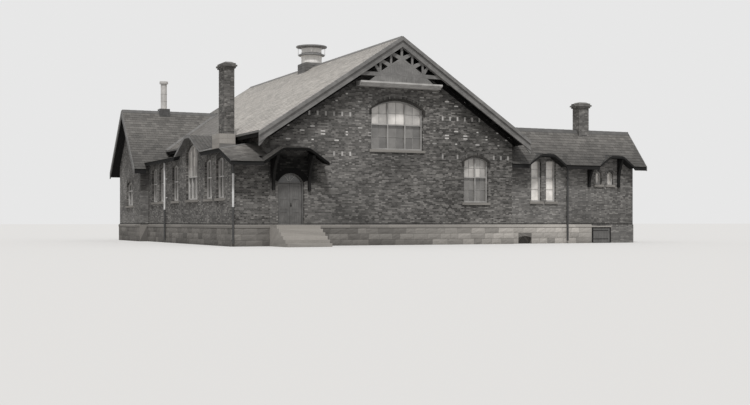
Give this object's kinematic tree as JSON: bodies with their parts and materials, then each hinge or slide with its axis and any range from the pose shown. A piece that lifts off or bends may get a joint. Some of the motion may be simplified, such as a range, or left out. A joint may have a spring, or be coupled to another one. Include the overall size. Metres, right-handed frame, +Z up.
{
  "type": "brick church with gabled nave, low aisle and two wings",
  "caption": "Brick church with a gabled nave, boarded gable truss, ridge ventilator, low aisle, cross wing, right wing, arched hooded entrance and chimneys.",
  "frame": {"origin": "ground level under the middle of the nave's front wall, on its outer face", "axes": "+X to the right along the street front, +Y back along the nave, +Z up"},
  "size_m": [26.22, 26.24, 12.15],
  "materials": {
    "brick": "rough",
    "foundation_stone": "rough",
    "dressed_stone": "matte",
    "roof_covering": "matte",
    "wing_roofing": "matte",
    "painted_boards": "matte",
    "pale_boards": "matte",
    "door_boards": "satin",
    "window_joinery": "satin",
    "window_glass": "gloss",
    "floor_boards": "matte",
    "sheet_metal": "matte",
    "white_pipe": "satin",
    "ironwork": "matte"
  },
  "bodies": {
    "root": {"aisle_dormer": "roof_covering", "aisle_front_wall": "brick", "aisle_roof": "roof_covering", "aisle_side_wall": "brick", "corner_bay_wall": "brick", "door_frame": "door_boards", "door_pintles": "ironwork", "downpipes": "white_pipe", "eave_brackets": "painted_boards", "entrance_hood": "roof_covering", "entrance_steps": "dressed_stone", "floors": "floor_boards", "front_bargeboards": "painted_boards", "front_glass": "window_glass", "front_wall": "brick", "front_wall_corner": "brick", "front_wall_over_door": "brick", "front_window_frames": "window_joinery", "gable_fretwork": "painted_boards", "gable_ledge": "pale_boards", "gable_panel": "pale_boards", "hood_brackets": "painted_boards", "label_moulds": "brick", "left_chimney": "brick", "left_foundation": "foundation_stone", "left_glass": "window_glass", "left_window_frames": "window_joinery", "left_wing_end_wall": "brick", "left_wing_roof_front": "wing_roofing", "left_wing_roof_rear": "wing_roofing", "left_wing_side_walls": "brick", "nave_arcade": "brick", "nave_back_glass": "window_glass", "nave_back_window_frames": "window_joinery", "nave_foundation": "foundation_stone", "nave_gutters": "sheet_metal", "nave_right_wall": "brick", "nave_roof_left": "roof_covering", "nave_roof_right": "roof_covering", "rear_bargeboards": "painted_boards", "rear_wall": "brick", "right_chimney": "brick", "right_foundation": "foundation_stone", "right_wing_end_wall": "brick", "right_wing_front_wall": "brick", "right_wing_glass": "window_glass", "right_wing_rear_wall": "brick", "right_wing_roof_front": "wing_roofing", "right_wing_roof_rear": "wing_roofing", "right_wing_window_frames": "window_joinery", "stove_pipe": "sheet_metal", "ventilator": "sheet_metal", "ventilator_base": "sheet_metal", "window_dressings": "dressed_stone", "wing_verge_boards": "painted_boards"},
    "door_left_leaf": {"door_left": "door_boards", "door_left_straps": "ironwork"},
    "door_right_leaf": {"door_right": "door_boards", "door_right_straps": "ironwork"}
  },
  "joints": [
    {"name": "door_left_hinge", "type": "hinge", "parent": "root", "child": "door_left_leaf", "pos_m": [-6.524, 0.268, 2.1], "axis": [0, 0, 1], "range_deg": [0, 90]},
    {"name": "door_right_hinge", "type": "hinge", "parent": "root", "child": "door_right_leaf", "pos_m": [-5.276, 0.268, 2.1], "axis": [0, 0, -1], "range_deg": [0, 90]}
  ]
}
